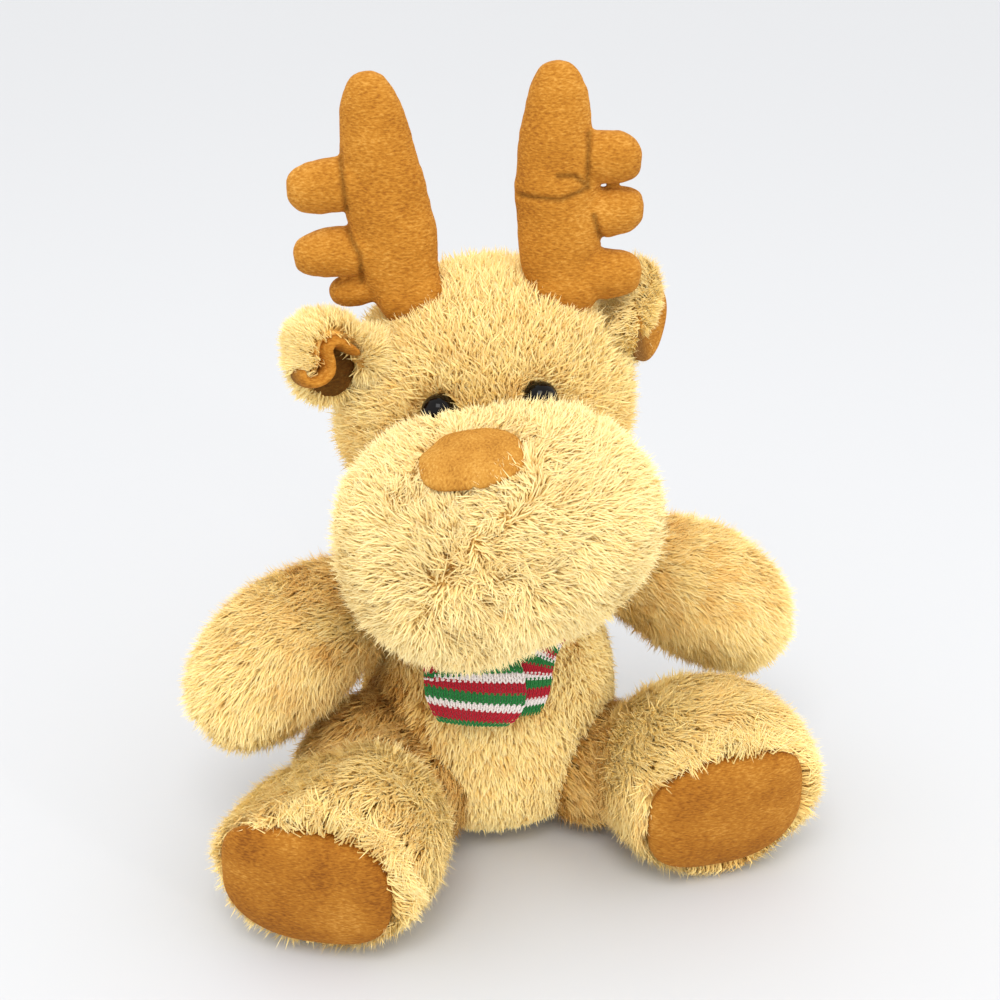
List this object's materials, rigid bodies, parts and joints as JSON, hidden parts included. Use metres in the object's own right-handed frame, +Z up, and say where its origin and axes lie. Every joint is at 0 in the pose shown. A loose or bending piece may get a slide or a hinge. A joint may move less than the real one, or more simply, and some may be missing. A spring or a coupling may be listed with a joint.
{
  "type": "plush deer",
  "caption": "Sitting plush deer with long-pile fur, short-pile antlers, nose and soles, glossy eyes and a striped knitted scarf; head, ears, antlers, arms and legs flex.",
  "frame": {"origin": "middle of the flat seat under the body, on the surface that it sits on", "axes": "+Z up, -Y the way the body faces, +X towards the toy's own left side"},
  "size_m": [0.246, 0.1508, 0.2975],
  "materials": {
    "fur": "long golden pile",
    "pale_fur": "long cream pile",
    "velboa": "short caramel pile",
    "knit": "knitted stripes in red, white and green",
    "backing": "woven backing cloth",
    "wadding": "loose fibre filling",
    "pellets": "small pellets in a bag",
    "gloss": "polished black with a dark brown rim",
    "moulding": "as moulded"
  },
  "bodies": {
    "body": {"torso_cover": "fur", "torso_stuffing": "wadding", "seat_bean_bag": "pellets", "scarf": "knit"},
    "neck": {"neck_gusset": "backing"},
    "head": {"head_cover": "fur", "muzzle_cover": "pale_fur", "head_stuffing": "wadding", "nose_patch": "velboa", "eye_right": "gloss", "eye_left": "gloss", "eye_washer_right": "moulding", "eye_washer_left": "moulding"},
    "antler_right": {"antler_cover_right": "velboa", "antler_stuffing_right": "wadding"},
    "ear_right": {"ear_back_right": "fur", "ear_lining_right": "velboa"},
    "arm_right": {"arm_cover_right": "fur", "arm_stuffing_right": "wadding"},
    "leg_right": {"leg_cover_right": "fur", "leg_stuffing_right": "wadding", "foot_pad_right": "velboa"},
    "antler_left": {"antler_cover_left": "velboa", "antler_stuffing_left": "wadding"},
    "ear_left": {"ear_back_left": "fur", "ear_lining_left": "velboa"},
    "arm_left": {"arm_cover_left": "fur", "arm_stuffing_left": "wadding"},
    "leg_left": {"leg_cover_left": "fur", "leg_stuffing_left": "wadding", "foot_pad_left": "velboa"}
  },
  "joints": [
    {"name": "neck_turn", "type": "hinge", "parent": "body", "child": "neck", "pos_m": [0.008, 0.007, 0.102], "axis": [0, 0, 1], "range_deg": [-6, 35], "stiffness_Nm_per_rad": 0.6},
    {"name": "head_nod", "type": "hinge", "parent": "neck", "child": "head", "pos_m": [0.008, 0.007, 0.102], "axis": [0.9594, -0.2552, 0.1197], "range_deg": [-15, 2], "stiffness_Nm_per_rad": 3},
    {"name": "antler_bend_right", "type": "hinge", "parent": "head", "child": "antler_right", "pos_m": [-0.02495, -0.00286, 0.21559], "axis": [0.9409, -0.2503, 0.228], "range_deg": [-12, 12], "stiffness_Nm_per_rad": 0.2},
    {"name": "ear_flop_right", "type": "hinge", "parent": "head", "child": "ear_right", "pos_m": [-0.04123, -0.00752, 0.19523], "axis": [0.0562, 0.1579, 0.9858], "range_deg": [-10, 25], "stiffness_Nm_per_rad": 0.03},
    {"name": "arm_swing_right", "type": "hinge", "parent": "body", "child": "arm_right", "pos_m": [-0.0315, 0.002, 0.093], "axis": [-0.9759, 0, 0.2182], "range_deg": [-30, 45], "stiffness_Nm_per_rad": 0.4},
    {"name": "leg_swing_right", "type": "hinge", "parent": "body", "child": "leg_right", "pos_m": [-0.038, -0.03, 0.027], "axis": [-0.6749, 0.7379, 0], "range_deg": [-25, 4], "stiffness_Nm_per_rad": 0.5},
    {"name": "antler_bend_left", "type": "hinge", "parent": "head", "child": "antler_left", "pos_m": [0.02836, -0.01704, 0.21752], "axis": [0.9663, -0.2571, 0.01], "range_deg": [-12, 12], "stiffness_Nm_per_rad": 0.2},
    {"name": "ear_flop_left", "type": "hinge", "parent": "head", "child": "ear_left", "pos_m": [0.05158, -0.01294, 0.19896], "axis": [0.1578, -0.0027, -0.9875], "range_deg": [-10, 25], "stiffness_Nm_per_rad": 0.03},
    {"name": "arm_swing_left", "type": "hinge", "parent": "body", "child": "arm_left", "pos_m": [0.0475, 0.002, 0.093], "axis": [-0.9759, 0, -0.2182], "range_deg": [-30, 45], "stiffness_Nm_per_rad": 0.4},
    {"name": "leg_swing_left", "type": "hinge", "parent": "body", "child": "leg_left", "pos_m": [0.038, -0.03, 0.027], "axis": [-0.6967, -0.7174, 0], "range_deg": [-25, 4], "stiffness_Nm_per_rad": 0.5}
  ]
}
